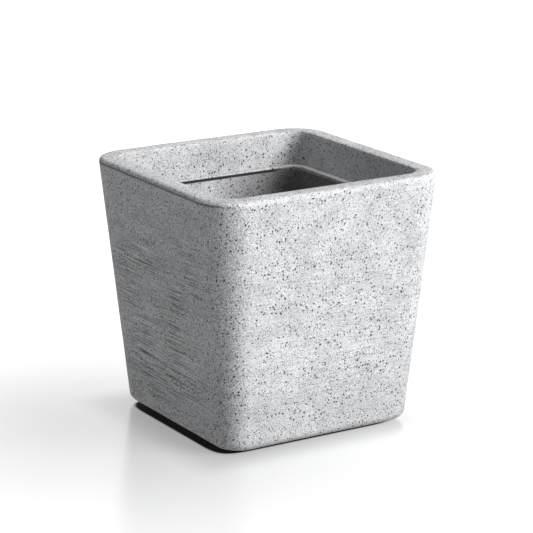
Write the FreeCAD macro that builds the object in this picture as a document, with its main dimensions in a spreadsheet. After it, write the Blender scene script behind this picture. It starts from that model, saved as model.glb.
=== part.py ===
"""Square tapered planter with a lift-out liner and a water reservoir.

Millimetres, +Z up. The origin is on the ground, at the middle of the planter.
The front is -Y. Every size is a cell of the sheet "dims"; a piece that fits into
another one takes its size and its place from the same cells plus a clearance.
"""
import FreeCAD, Part
import math
import os
import Sketcher

Vector = FreeCAD.Vector
Rotation = FreeCAD.Rotation
doc = FreeCAD.newDocument("planter")

SIZES = {
    # outer shell
    "total_height": 390, "foot_height": 5,
    "rim_width": 400, "base_width": 326, "rim_corner": 58, "base_corner": 38,
    "rim_breadth": 31, "rim_round": 8, "rim_inner_round": 3, "base_round": 12,
    "shell_wall": 6, "shell_floor": 7,
    "band_depth": 56, "band_draft": 3, "band_corner": 30,
    "shelf_width": 5, "shelf_thick": 6, "skirt_wall": 6,
    "shell_drain_radius": 12,
    # feet and their screws
    "foot_radius": 15, "foot_flare": 1, "foot_inset": 47, "foot_bore_clearance": 0.2,
    "boss_radius": 8, "boss_height": 12, "screw_cap": 2,
    "screw_radius": 2.5, "screw_length": 14, "screw_head_radius": 4.6, "screw_head": 2.2,
    "screw_head_clearance": 0.4, "screw_head_edge": 0.5, "screw_socket": 2.5,
    "screw_socket_depth": 1.4, "screw_clearance": 0.05,
    # liner
    "liner_gap": 0.8, "liner_wall": 3, "liner_floor": 4, "liner_underside": 30,
    "liner_base_gap": 20.3, "liner_base_round": 9,
    "flange_thick": 3.6, "flange_gap": 1, "lip": 1.8, "lip_round": 1.5,
    # lifting handles
    "handle_gap": 0.3, "handle_bar": 2.5, "handle_bend": 6, "handle_arm": 26, "handle_grip": 48,
    "lug_inner": 44, "lug_thick": 6, "lug_depth": 7, "lug_root": 1, "lug_cover": 1.5,
    "pin_clearance": 0.1,
    # water separator
    "reservoir": 60, "plate_thick": 4, "plate_gap": 1.3,
    "leg_radius": 11, "leg_bore": 8, "leg_inset": 26.1,
    "slot_length": 36, "slot_width": 4, "slot_pitch": 16, "slot_columns": 50, "slot_start": 52,
    # wick cups
    "cup_radius": 30, "cup_offset": 70, "cup_wall": 3, "cup_gap": 0.5, "cup_flange": 4,
    "cup_flange_thick": 2.5, "cup_stand_off": 2, "cup_window": 10, "cup_window_height": 30,
    # filling tube with its float
    "tube_radius": 20, "tube_wall": 2.5, "tube_inset": 34.1, "tube_top_drop": 12,
    "tube_bead": 1, "tube_bead_width": 3, "tube_bead_drop": 22,
    "socket_wall": 3.2, "socket_rise": 12, "socket_gap": 0.3, "socket_window": 12,
    "socket_window_height": 18,
    "cap_wall": 2.6, "cap_skirt": 14, "cap_top": 3, "cap_gap": 0.08, "cap_hole": 3.2,
    "cap_edge": 1,
    "float_radius": 15, "float_height": 28, "float_stand_off": 2, "float_gap": 0.05,
    "rod_radius": 2, "rod_tip_radius": 2.6, "rod_tip_length": 12, "rod_tip_stand": 2,
    "float_edge": 1.5, "float_floor": 7,
    # drain bung
    "bung_radius": 12, "bung_gap": 0.1, "bung_taper": 0.8, "bung_tail": 3,
    "bung_head_radius": 17, "bung_head": 4, "bung_grip": 16, "bung_grip_radius": 9,
    "bung_grip_waist": 6.3, "bung_grip_top": 7.2, "bung_grip_thick": 5, "bung_edge": 1,
}


class Size:
    """A size with both its value and the expression that binds it to the sheet."""

    def __init__(self, value, text):
        self.value = value
        self.text = text

    def _with(self, other, value, sign):
        other_text = other.text if isinstance(other, Size) else repr(float(other))
        return Size(value, "(%s %s %s)" % (self.text, sign, other_text))

    def __add__(self, other):
        return self._with(other, self.value + number(other), "+")

    def __sub__(self, other):
        return self._with(other, self.value - number(other), "-")

    def __mul__(self, other):
        return self._with(other, self.value * number(other), "*")

    def __truediv__(self, other):
        return self._with(other, self.value / number(other), "/")

    def __neg__(self):
        return self * -1


def number(size):
    return size.value if isinstance(size, Size) else size


def make_sheet():
    """One row per size: its name, then its cell, which has the name as alias."""
    sheet = doc.addObject("Spreadsheet::Sheet", "dims")
    for row, (name, value) in enumerate(SIZES.items(), 1):
        sheet.set("A%d" % row, name)
        sheet.set("B%d" % row, str(value))
        sheet.setAlias("B%d" % row, name)
    doc.recompute()
    return {name: Size(float(sheet.get(name)), "dims." + name) for name in SIZES}


D = make_sheet()


def bind(thing, path, size):
    """Ties a property, or a named constraint, to the sheet."""
    thing.setExpression(path, size.text if isinstance(size, Size) else repr(float(size)))


# ---------------------------------------------------------------- sketches

def new_body(name):
    body = doc.addObject("PartDesign::Body", name)
    body.Label = name
    return body


def new_sketch(body, name, plane, offset):
    """An empty sketch on one of the body's origin planes, offset along its normal.

    With no body it is a level sketch of the document, for the solids made from lofts.
    """
    if body is None:
        sketch = doc.addObject("Sketcher::SketchObject", name)
        bind(sketch, ".Placement.Base.z", offset)
        return sketch
    sketch = body.newObject("Sketcher::SketchObject", name)
    support = [item for item in body.Origin.OriginFeatures if item.Role == plane][0]
    sketch.AttachmentSupport = [(support, "")]
    sketch.MapMode = "FlatFace"
    bind(sketch, "AttachmentOffset.Base.z", offset)
    return sketch


def dimension(sketch, *constraint_and_size):
    """Adds a driving constraint whose value follows the sheet."""
    *constraint, size = constraint_and_size
    index = sketch.addConstraint(Sketcher.Constraint(*constraint, number(size)))
    name = "size%d" % index
    sketch.renameConstraint(index, name)
    bind(sketch, "Constraints." + name, size)


def place_point(sketch, geometry, point, x, y):
    """Dimensions a point from the origin; a zero puts it on the axis."""
    for axis, kind, place in ((-2, "DistanceX", x), (-1, "DistanceY", y)):
        if isinstance(place, Size) or place != 0:
            dimension(sketch, kind, -1, 1, geometry, point, place)
        else:
            sketch.addConstraint(Sketcher.Constraint("PointOnObject", geometry, point, axis))


def square_sketch(body, name, half, corner, height):
    """A square with round corners, centred on Z, at a height."""
    sketch = new_sketch(body, name, "XY_Plane", height)
    side, radius = number(half), number(corner)
    flat = side - radius
    ends = [((-flat, -side), (flat, -side)), ((side, -flat), (side, flat)),
            ((flat, side), (-flat, side)), ((-side, flat), (-side, -flat))]
    for start, end in ends:
        sketch.addGeometry(Part.LineSegment(Vector(*start), Vector(*end)), False)
    for turn, (x, y) in enumerate(((flat, -flat), (flat, flat), (-flat, flat), (-flat, -flat))):
        circle = Part.Circle(Vector(x, y), Vector(0, 0, 1), radius)
        start = math.radians(90 * turn - 90)
        sketch.addGeometry(Part.ArcOfCircle(circle, start, start + math.pi / 2), False)
    rules = [Sketcher.Constraint("Tangent", side_no, 2, 4 + side_no, 1) for side_no in range(4)]
    rules += [Sketcher.Constraint("Tangent", 4 + turn, 2, (turn + 1) % 4, 1) for turn in range(4)]
    rules += [Sketcher.Constraint("Horizontal", side_no) for side_no in (0, 2)]
    rules += [Sketcher.Constraint("Vertical", side_no) for side_no in (1, 3)]
    rules += [Sketcher.Constraint("Equal", 4, arc) for arc in (5, 6, 7)]
    rules += [Sketcher.Constraint("Symmetric", 4, 3, 6, 3, -1, 1), Sketcher.Constraint("Equal", 0, 1)]
    sketch.addConstraint(rules)
    dimension(sketch, "DistanceX", 3, 1, 1, 1, half * 2)
    dimension(sketch, "Radius", 4, corner)
    return sketch


def outline_sketch(body, name, plane, offset, points):
    """A closed outline of straight lines through dimensioned points."""
    sketch = new_sketch(body, name, plane, offset)
    count = len(points)
    for index in range(count):
        start, end = points[index], points[(index + 1) % count]
        sketch.addGeometry(Part.LineSegment(Vector(number(start[0]), number(start[1])),
                                            Vector(number(end[0]), number(end[1]))), False)
    for index in range(count):
        sketch.addConstraint(Sketcher.Constraint("Coincident", index, 2, (index + 1) % count, 1))
    for index, (x, y) in enumerate(points):
        place_point(sketch, index, 1, x, y)
    return sketch


def circle_sketch(body, name, plane, offset, x, y, radius):
    sketch = new_sketch(body, name, plane, offset)
    circle = Part.Circle(Vector(number(x), number(y)), Vector(0, 0, 1), number(radius))
    sketch.addGeometry(circle, False)
    place_point(sketch, 0, 3, x, y)
    dimension(sketch, "Radius", 0, radius)
    return sketch


# ---------------------------------------------------------------- features

def extrude(body, name, sketch, length, cut=False, backwards=False):
    """A pad, or a pocket, whose volume must change the right way.

    A pad grows along the sketch's normal and a pocket cuts against it.
    """
    before = body.Shape.Volume if body.Tip else 0
    feature = body.newObject("PartDesign::Pocket" if cut else "PartDesign::Pad", name)
    feature.Profile = sketch
    bind(feature, "Length", length)
    feature.Reversed = backwards
    doc.recompute()
    change = body.Shape.Volume - before
    if (change >= 0) if cut else (change <= 0):
        raise RuntimeError("%s changes nothing" % name)
    return feature


def through(body, name, sketch):
    """A pocket that cuts both ways through everything."""
    feature = body.newObject("PartDesign::Pocket", name)
    feature.Profile = sketch
    feature.Type = "ThroughAll"
    feature.SideType = "Symmetric"
    doc.recompute()
    return feature


def axis_of(body, role):
    return [item for item in body.Origin.OriginFeatures if item.Role == role][0]


def fillet(body, name, radius, wanted):
    """Rounds the edges that the test picks from the body's present shape."""
    base = body.Tip
    names = ["Edge%d" % number_ for number_, edge in enumerate(base.Shape.Edges, 1) if wanted(edge)]
    if not names:
        raise RuntimeError("%s finds no edge" % name)
    feature = body.newObject("PartDesign::Fillet", name)
    feature.Base = (base, names)
    bind(feature, "Radius", radius)
    doc.recompute()
    return feature


def level_edge(edge, height, reach=None):
    """Is the edge flat at this height and, if asked, within this half-width?"""
    box = edge.BoundBox
    flat = abs(box.ZMin - number(height)) < 0.01 and abs(box.ZMax - number(height)) < 0.01
    furthest = max(abs(box.XMin), abs(box.XMax), abs(box.YMin), abs(box.YMax))
    return flat and (reach is None or furthest < number(reach) + 0.01)


def turned(name, points):
    """A body turned round its own Z from an outline of (radius, height) points."""
    body = new_body(name)
    sketch = outline_sketch(body, name + "_outline", "XZ_Plane", 0, points)
    feature = body.newObject("PartDesign::Revolution", name + "_turn")
    feature.Profile = sketch
    feature.ReferenceAxis = (sketch, ["V_Axis"])
    feature.Angle = 360
    doc.recompute()
    return body


def stand(body, x, y, height=0):
    """Places a finished piece."""
    for axis, place in (("x", x), ("y", y), ("z", height)):
        bind(body, ".Placement.Base." + axis, place)


# ---------------------------------------------------------------- lofted solids and booleans

def loft(name, sections):
    """A straight-sided solid; each section is a name with half-width, corner and height."""
    solid = doc.addObject("Part::Loft", name)
    solid.Sections = [square_sketch(None, "%s_%s" % (name, end), *section) for end, *section in sections]
    solid.Solid = True
    solid.Ruled = True
    return solid


def rounded(name, base, radius, wanted):
    """Rounds the picked edges of a lofted solid."""
    doc.recompute()
    reach = number(radius)
    edges = [(index, reach, reach) for index, edge in enumerate(base.Shape.Edges, 1) if wanted(edge)]
    if not edges:
        raise RuntimeError("%s finds no edge" % name)
    solid = doc.addObject("Part::Fillet", name)
    solid.Base = base
    solid.Edges = edges
    return solid


def cylinder(name, radius, length, x=0, y=0, z=0):
    solid = doc.addObject("Part::Cylinder", name)
    bind(solid, "Radius", radius)
    bind(solid, "Height", length)
    stand(solid, x, y, z)
    return solid


def fuse(name, solids):
    result = doc.addObject("Part::MultiFuse", name)
    result.Shapes = solids
    return result


def cut(name, base, tool):
    result = doc.addObject("Part::Cut", name)
    result.Base, result.Tool = base, tool
    return result


# ---------------------------------------------------------------- shared places

def between(height, low, high, at_low, at_high):
    """A size that changes evenly from one height to another."""
    return at_low + (at_high - at_low) * ((height - low) / (high - low))


def shell_half(height):
    return between(height, D["foot_height"], D["total_height"], D["base_width"] / 2, D["rim_width"] / 2)


def shell_corner(height):
    return between(height, D["foot_height"], D["total_height"], D["base_corner"], D["rim_corner"])


shelf_top = D["total_height"] - D["band_depth"]
band_half_top = D["rim_width"] / 2 - D["rim_breadth"]
band_half_bottom = band_half_top - D["band_draft"]
shelf_half = band_half_bottom - D["shelf_width"]
shelf_corner = D["band_corner"] - D["shelf_width"]
liner_half_top = shelf_half - D["liner_gap"]
liner_corner = shelf_corner - D["liner_gap"]
liner_floor_top = D["liner_underside"] + D["liner_floor"]
plate_bottom = liner_floor_top + D["reservoir"]
plate_top = plate_bottom + D["plate_thick"]
foot_place = D["base_width"] / 2 - D["foot_inset"]


def liner_half(height):
    """Half the liner's outer width at a height."""
    base = shell_half(D["liner_underside"]) - D["shell_wall"] - D["liner_base_gap"]
    return between(height, D["liner_underside"], shelf_top, base, liner_half_top)


plate_half = liner_half(plate_bottom) - D["liner_wall"] - D["plate_gap"]
plate_corner = liner_corner - D["liner_wall"] - D["plate_gap"]
floor_half = liner_half(liner_floor_top) - D["liner_wall"]
leg_place = floor_half - D["leg_inset"]
tube_place = floor_half - D["tube_inset"]
tube_bottom = plate_bottom
tube_top = shelf_top - D["tube_top_drop"]


# ---------------------------------------------------------------- outer shell

CORNERS = {"front_left": (-1, -1), "front_right": (1, -1), "back_left": (-1, 1), "back_right": (1, 1)}


def make_shell():
    """A hollow form whose rim turns in and down again, ending in the shelf that carries the liner."""
    bottom, top = D["foot_height"], D["total_height"]
    wall, floor_top = D["shell_wall"], bottom + D["shell_floor"]
    form = loft("shell_form", [("base", shell_half(bottom), shell_corner(bottom), bottom),
                               ("rim", shell_half(top), shell_corner(top), top)])
    form = rounded("base_edge", form, D["base_round"], lambda edge: level_edge(edge, bottom))
    form = rounded("rim_edge", form, D["rim_round"], lambda edge: level_edge(edge, top))
    hollow = loft("hollow", [(end, shell_half(level) - wall, shell_corner(level) - wall, level)
                             for end, level in (("bottom", floor_top), ("top", top - wall))])

    skirt, skirt_corner = D["skirt_wall"], D["band_corner"] + D["skirt_wall"]
    rim_return = loft("rim_return", [
        ("bottom", band_half_bottom + skirt, skirt_corner, shelf_top - D["shelf_thick"]),
        ("top", band_half_top + skirt, skirt_corner, top - wall / 2)])
    band = loft("upper_band", [("bottom", band_half_bottom, D["band_corner"], shelf_top),
                               ("top", band_half_top, D["band_corner"], top)])
    opening = loft("shelf_opening", [("bottom", shelf_half, shelf_corner, shelf_top - D["shelf_thick"]),
                                     ("top", shelf_half, shelf_corner, shelf_top)])

    bosses, holes = [], []
    for corner, (x_side, y_side) in CORNERS.items():
        x, y = foot_place * x_side, foot_place * y_side
        bosses.append(cylinder("screw_boss_" + corner, D["boss_radius"], wall / 2 + D["boss_height"],
                               x, y, floor_top - wall / 2))
        holes.append(cylinder("screw_hole_" + corner, D["screw_radius"] + D["screw_clearance"],
                              D["shell_floor"] + D["boss_height"] - D["screw_cap"], x, y, bottom))
    drain = cylinder("drain_hole", D["shell_drain_radius"], D["shell_floor"], 0, 0, bottom)
    walls = fuse("shell_walls", [cut("hollow_shell", form, hollow), rim_return] + bosses)
    shell = cut("shell_cut_out", walls, fuse("shell_openings", [band, opening, drain] + holes))
    shell = rounded("outer_shell", shell, D["rim_inner_round"],
                    lambda edge: level_edge(edge, top, reach=band_half_top))
    shell.Label = "outer_shell"


# ---------------------------------------------------------------- feet and screws

screw_seat = D["foot_height"] / 2


def make_foot(name, x, y):
    bore = D["screw_radius"] + D["foot_bore_clearance"]
    pocket = D["screw_head_radius"] + D["screw_head_clearance"]
    outer, top = D["foot_radius"], D["foot_height"]
    body = turned(name, [(bore, screw_seat), (pocket, screw_seat), (pocket, 0),
                         (outer - D["foot_flare"], 0), (outer, D["foot_flare"]), (outer, top), (bore, top)])
    stand(body, x, y)


def make_screw(name, x, y):
    """A pan-head screw with a hexagon socket; its thread is left as a plain shank."""
    head, shank = D["screw_head_radius"], D["screw_radius"]
    under = screw_seat - D["screw_head"]
    body = turned(name, [(0, under), (head - D["screw_head_edge"], under), (head, under + D["screw_head_edge"]),
                         (head, screw_seat), (shank, screw_seat),
                         (shank, screw_seat + D["screw_length"] - shank / 2),
                         (shank / 2, screw_seat + D["screw_length"]), (0, screw_seat + D["screw_length"])])
    sketch = new_sketch(body, name + "_hexagon", "XY_Plane", under)
    radius = number(D["screw_socket"]) / math.sqrt(3)
    corners = [Vector(radius * math.cos(math.radians(60 * turn)), radius * math.sin(math.radians(60 * turn)))
               for turn in range(6)]
    for turn in range(6):
        sketch.addGeometry(Part.LineSegment(corners[turn], corners[(turn + 1) % 6]), False)
    sketch.addGeometry(Part.Circle(Vector(0, 0), Vector(0, 0, 1), radius), True)
    for turn in range(6):
        sketch.addConstraint([Sketcher.Constraint("Coincident", turn, 2, (turn + 1) % 6, 1),
                              Sketcher.Constraint("PointOnObject", turn, 1, 6)])
    for turn in range(1, 6):
        sketch.addConstraint(Sketcher.Constraint("Equal", 0, turn))
    sketch.addConstraint([Sketcher.Constraint("Coincident", 6, 3, -1, 1),
                          Sketcher.Constraint("PointOnObject", 0, 1, -1)])
    dimension(sketch, "Radius", 6, D["screw_socket"] / math.sqrt(3))
    extrude(body, name + "_socket", sketch, D["screw_socket_depth"], cut=True, backwards=True)
    stand(body, x, y)


# ---------------------------------------------------------------- liner

HANDLE_CORNERS = {"left": 135, "right": -45}
flange_top = shelf_top + D["flange_thick"]
handle_height = flange_top + D["handle_gap"] + D["handle_bar"]
lug_outer = D["lug_inner"] + D["lug_thick"]
flange_half = band_half_bottom - D["flange_gap"]
flange_corner = D["band_corner"] - D["flange_gap"]
mouth_half = liner_half_top - D["liner_wall"] - D["lip"]
mouth_corner = liner_corner - D["liner_wall"] - D["lip"]
# The lugs stand along the middle of the flange, so the handles' axis follows from its width.
handle_reach = (flange_half + mouth_half) / 2 * math.sqrt(2) - (D["lug_inner"] + D["lug_thick"] / 2)


def corner_place(thing, degrees, reach, across, height, lay_across=False):
    """Places a thing in a corner: reach from the middle, across the corner, height."""
    angle = math.radians(degrees)
    out, along = (math.cos(angle), math.sin(angle)), (-math.sin(angle), math.cos(angle))
    turn = Rotation(Vector(0, 0, 1), degrees)
    if lay_across:
        turn = turn.multiply(Rotation(Vector(1, 0, 0), 90))
    thing.Placement = FreeCAD.Placement(Vector(), turn)
    bind(thing, ".Placement.Base.x", reach * out[0] + across * along[0])
    bind(thing, ".Placement.Base.y", reach * out[1] + across * along[1])
    bind(thing, ".Placement.Base.z", height)


def make_lug(name, degrees, across):
    """A small eye on the flange that holds one end of a handle."""
    lug = doc.addObject("Part::Box", name)
    bind(lug, "Length", D["lug_depth"])
    bind(lug, "Width", D["lug_thick"])
    bind(lug, "Height", handle_height - flange_top + D["lug_root"] + D["handle_bar"] + D["lug_cover"])
    corner_place(lug, degrees, handle_reach - D["lug_depth"] / 2, across, flange_top - D["lug_root"])
    return lug


def make_liner():
    """A tapered tub with a floor; its flange lies on the shell's shelf and ends in a small lip."""
    low, wall, corner = D["liner_underside"], D["liner_wall"], liner_corner
    form = loft("liner_form", [("bottom", liner_half(low), corner, low),
                               ("top", liner_half(shelf_top), corner, shelf_top)])
    form = rounded("liner_base_edge", form, D["liner_base_round"], lambda edge: level_edge(edge, low))
    flange = loft("flange", [("under", flange_half, flange_corner, shelf_top),
                             ("top", flange_half, flange_corner, flange_top)])
    mouth = loft("mouth", [("under", mouth_half, mouth_corner, shelf_top),
                           ("top", mouth_half, mouth_corner, flange_top)])
    cavity = loft("cavity", [(end, liner_half(level) - wall, corner - wall, level)
                             for end, level in (("bottom", liner_floor_top), ("top", shelf_top))])
    cavity = rounded("cavity_base_edge", cavity, D["liner_base_round"] - wall,
                     lambda edge: level_edge(edge, liner_floor_top))
    bung_hole = cylinder("bung_hole", D["bung_radius"], D["liner_floor"], 0, 0, low)
    tub = cut("tub", fuse("liner_walls", [form, flange]), fuse("liner_room", [cavity, mouth, bung_hole]))
    tub = rounded("tub_lip", tub, D["lip_round"], lambda edge: level_edge(edge, flange_top))

    lugs, bores = [], []
    for name, degrees in HANDLE_CORNERS.items():
        lugs.append(make_lug("lug_near_" + name, degrees, -lug_outer))
        lugs.append(make_lug("lug_far_" + name, degrees, D["lug_inner"]))
        bore = cylinder("pin_bore_" + name, D["handle_bar"] + D["pin_clearance"], lug_outer * 2)
        corner_place(bore, degrees, handle_reach, lug_outer, handle_height, lay_across=True)
        bores.append(bore)
    liner = cut("liner", fuse("tub_with_lugs", [tub] + lugs), fuse("pin_bores", bores))
    liner.Label = "liner"


# ---------------------------------------------------------------- lifting handles

def bent_path(body, name, points, radius):
    """A level path of straight runs through dimensioned points, with an arc at each inner point."""
    path = new_sketch(body, name, "XY_Plane", 0)
    spots = [Vector(number(x), number(y)) for x, y in points]
    trims = [0]
    for before, spot, after in zip(spots, spots[1:], spots[2:]):
        trims.append(number(radius) * math.tan((spot - before).getAngle(after - spot) / 2))
    trims.append(0)
    runs = len(spots) - 1
    for run in range(runs):
        along = (spots[run + 1] - spots[run]).normalize()
        path.addGeometry(Part.LineSegment(spots[run] + along * trims[run],
                                          spots[run + 1] - along * trims[run + 1]), False)
    for turn in range(1, runs):
        start, end = path.Geometry[turn - 1].EndPoint, path.Geometry[turn].StartPoint
        before = (spots[turn] - spots[turn - 1]).normalize()
        left = before.cross(spots[turn + 1] - spots[turn]).z > 0
        side = Vector(-before.y, before.x) * (1 if left else -1)
        centre = start + side * number(radius)
        first, last = (start, end) if left else (end, start)
        angles = [math.atan2(spot.y - centre.y, spot.x - centre.x) for spot in (first, last)]
        circle = Part.Circle(centre, Vector(0, 0, 1), number(radius))
        arc = path.addGeometry(Part.ArcOfCircle(circle, *angles), False)
        near, far = (1, 2) if left else (2, 1)
        corner = path.addGeometry(Part.Point(spots[turn]), True)
        path.addConstraint([Sketcher.Constraint("Tangent", turn - 1, 2, arc, near),
                            Sketcher.Constraint("Tangent", arc, far, turn, 1),
                            Sketcher.Constraint("PointOnObject", corner, 1, turn - 1),
                            Sketcher.Constraint("PointOnObject", corner, 1, turn)])
        dimension(path, "Radius", arc, radius)
        place_point(path, corner, 1, *points[turn])
    place_point(path, 0, 1, *points[0])
    place_point(path, runs - 1, 2, *points[-1])
    return path


def make_handle(name, degrees):
    """A round bar bent to a bail; its two ends turn in the lugs. It lies on the flange at rest."""
    body = new_body(name)
    end = lug_outer - D["handle_gap"]
    arm, shoulder, grip = D["handle_arm"], D["lug_inner"] - D["handle_bend"], D["handle_grip"] / 2
    path = bent_path(body, name + "_path", [(0, -end), (0, -shoulder), (arm, -grip), (arm, grip),
                                            (0, shoulder), (0, end)], D["handle_bend"])
    profile = circle_sketch(body, name + "_bar", "XZ_Plane", end, 0, 0, D["handle_bar"])
    pipe = body.newObject("PartDesign::AdditivePipe", name + "_bail")
    pipe.Profile = profile
    pipe.Spine = (path, ["Edge%d" % index for index in range(1, len(path.Shape.Edges) + 1)])
    doc.recompute()
    corner_place(body, degrees, handle_reach, 0, handle_height)


# ---------------------------------------------------------------- water separator

SLOT_ROWS = 5


def add_slots(body, side, name):
    """Three slots side by side, repeated in rows away from the middle."""
    slots = new_sketch(body, name + "_outlines", "XY_Plane", plate_top)
    radius, reach = D["slot_width"] / 2, (D["slot_length"] - D["slot_width"]) / 2
    for column in (-1, 0, 1):
        middle = D["slot_columns"] * column
        left, right, row = middle - reach, middle + reach, D["slot_start"] * side
        first = slots.GeometryCount
        for x, start in ((right, -90), (left, 90)):
            circle = Part.Circle(Vector(number(x), number(row)), Vector(0, 0, 1), number(radius))
            arc = Part.ArcOfCircle(circle, math.radians(start), math.radians(start + 180))
            slots.addGeometry(arc, False)
        for edge in (1, -1):
            height = number(row) - edge * number(radius)
            start, end = (number(left), number(right))[::edge]
            slots.addGeometry(Part.LineSegment(Vector(start, height), Vector(end, height)), False)
        rules = [Sketcher.Constraint("Tangent", first + 2, 2, first, 1),
                 Sketcher.Constraint("Tangent", first, 2, first + 3, 1),
                 Sketcher.Constraint("Tangent", first + 3, 2, first + 1, 1),
                 Sketcher.Constraint("Tangent", first + 1, 2, first + 2, 1)]
        slots.addConstraint(rules)
        place_point(slots, first, 3, right, row)
        place_point(slots, first + 1, 3, left, row)
        dimension(slots, "Radius", first, radius)
    pocket = extrude(body, name, slots, D["plate_thick"], cut=True)
    rows = body.newObject("PartDesign::LinearPattern", name + "_rows")
    rows.Originals = [pocket]
    rows.Direction = (axis_of(body, "Y_Axis"), [""])
    rows.Reversed = side < 0
    rows.Occurrences = SLOT_ROWS
    bind(rows, "Length", D["slot_pitch"] * (SLOT_ROWS - 1))
    body.Tip = rows
    doc.recompute()


def make_separator():
    """A slotted plate on legs. The fourth leg is the socket of the filling tube."""
    body = new_body("water_separator")
    extrude(body, "plate", square_sketch(body, "plate_outline", plate_half, plate_corner, plate_bottom),
            D["plate_thick"])
    for number_, (x, y) in enumerate(((1, 1), (-1, 1), (1, -1)), 1):
        extrude(body, "leg_%d" % number_,
                circle_sketch(body, "leg_circle_%d" % number_, "XY_Plane", liner_floor_top,
                              leg_place * x, leg_place * y, D["leg_radius"]),
                D["reservoir"] + D["plate_thick"] / 2)
        extrude(body, "leg_bore_%d" % number_,
                circle_sketch(body, "leg_bore_circle_%d" % number_, "XY_Plane", liner_floor_top,
                              leg_place * x, leg_place * y, D["leg_bore"]),
                D["reservoir"] - D["plate_thick"], cut=True, backwards=True)
    socket = D["tube_radius"] + D["socket_gap"] + D["socket_wall"]
    extrude(body, "tube_socket",
            circle_sketch(body, "socket_circle", "XY_Plane", liner_floor_top, -tube_place, -tube_place, socket),
            D["reservoir"] + D["plate_thick"] + D["socket_rise"])
    for name, level, radius in (("socket_throat", liner_floor_top, D["tube_radius"] - D["tube_wall"]),
                                ("socket_seat", tube_bottom, D["tube_radius"] + D["socket_gap"])):
        extrude(body, name,
                circle_sketch(body, name + "_circle", "XY_Plane", level, -tube_place, -tube_place, radius),
                D["reservoir"] + D["plate_thick"] + D["socket_rise"], cut=True, backwards=True)
    for side in (-1, 1):
        hole = circle_sketch(body, "cup_hole_circle_%d" % (side + 2), "XY_Plane", plate_top,
                             D["cup_offset"] * side, 0, D["cup_radius"] + D["cup_gap"])
        extrude(body, "cup_hole_%d" % (side + 2), hole, D["plate_thick"], cut=True)
        add_slots(body, side, "drain_slots_%d" % (side + 2))
    window = D["socket_window"] / 2
    middle = -tube_place
    inlet = outline_sketch(body, "socket_inlet_outline", "YZ_Plane", 0,
                           [(middle - window, liner_floor_top), (middle + window, liner_floor_top),
                            (middle + window, liner_floor_top + D["socket_window_height"]),
                            (middle - window, liner_floor_top + D["socket_window_height"])])
    extrude(body, "socket_inlet", inlet, tube_place + socket * 2, cut=True)
    return body


def make_cup(name, side):
    """A basket of soil that hangs in the plate and draws water up."""
    outer, inner = D["cup_radius"], D["cup_radius"] - D["cup_wall"]
    bottom = liner_floor_top + D["cup_stand_off"]
    flange = D["cup_radius"] + D["cup_flange"]
    rim = plate_top + D["cup_flange_thick"]
    body = turned(name, [(0, bottom), (outer, bottom), (outer, plate_top), (flange, plate_top), (flange, rim),
                         (inner, rim), (inner, bottom + D["cup_wall"]), (0, bottom + D["cup_wall"])])
    half, low = D["cup_window"] / 2, bottom + D["cup_wall"] * 2
    for plane in ("XZ_Plane", "YZ_Plane"):
        high = low + D["cup_window_height"]
        window = outline_sketch(body, "%s_window_%s" % (name, plane[:2]), plane, 0,
                                [(-half, low), (half, low), (half, high), (-half, high)])
        through(body, "%s_windows_%s" % (name, plane[:2]), window)
    stand(body, D["cup_offset"] * side, 0)


# ---------------------------------------------------------------- filling tube, cap, float

def make_tube():
    outer, inner = D["tube_radius"], D["tube_radius"] - D["tube_wall"]
    bead, bead_top = outer + D["tube_bead"], tube_top - D["tube_bead_drop"]
    body = turned("fill_tube", [
        (inner, tube_bottom), (outer, tube_bottom), (outer, bead_top - D["tube_bead_width"]),
        (bead, bead_top - D["tube_bead_width"] + D["tube_bead"]), (bead, bead_top - D["tube_bead"]),
        (outer, bead_top), (outer, tube_top), (inner, tube_top)])
    stand(body, -tube_place, -tube_place)


def make_cap():
    inner = D["tube_radius"] + D["cap_gap"]
    outer, top = inner + D["cap_wall"], tube_top + D["cap_top"]
    body = turned("tube_cap", [
        (D["cap_hole"], tube_top), (inner, tube_top), (inner, tube_top - D["cap_skirt"]),
        (outer, tube_top - D["cap_skirt"]), (outer, top - D["cap_edge"]), (outer - D["cap_edge"], top),
        (D["cap_hole"], top)])
    stand(body, -tube_place, -tube_place)


def make_float_and_rod():
    bottom = liner_floor_top + D["float_stand_off"]
    top = bottom + D["float_height"]
    radius, bore, edge = D["float_radius"], D["rod_radius"] + D["float_gap"], D["float_edge"]
    rod_foot = bottom + D["float_floor"]
    body = turned("level_float", [(0, bottom), (radius - edge, bottom), (radius, bottom + edge),
                                  (radius, top - edge), (radius - edge, top), (bore, top),
                                  (bore, rod_foot), (0, rod_foot)])
    stand(body, -tube_place, -tube_place)
    rod, tip = D["rod_radius"], D["rod_tip_radius"]
    rod_top = tube_top + D["cap_top"] + D["rod_tip_stand"]
    marker = rod_top - D["rod_tip_length"]
    body = turned("indicator_rod", [(0, rod_foot), (rod, rod_foot),
                                    (rod, marker), (tip, marker + rod), (tip, rod_top - rod / 2),
                                    (rod / 2, rod_top), (0, rod_top)])
    stand(body, -tube_place, -tube_place)


# ---------------------------------------------------------------- drain bung

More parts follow.
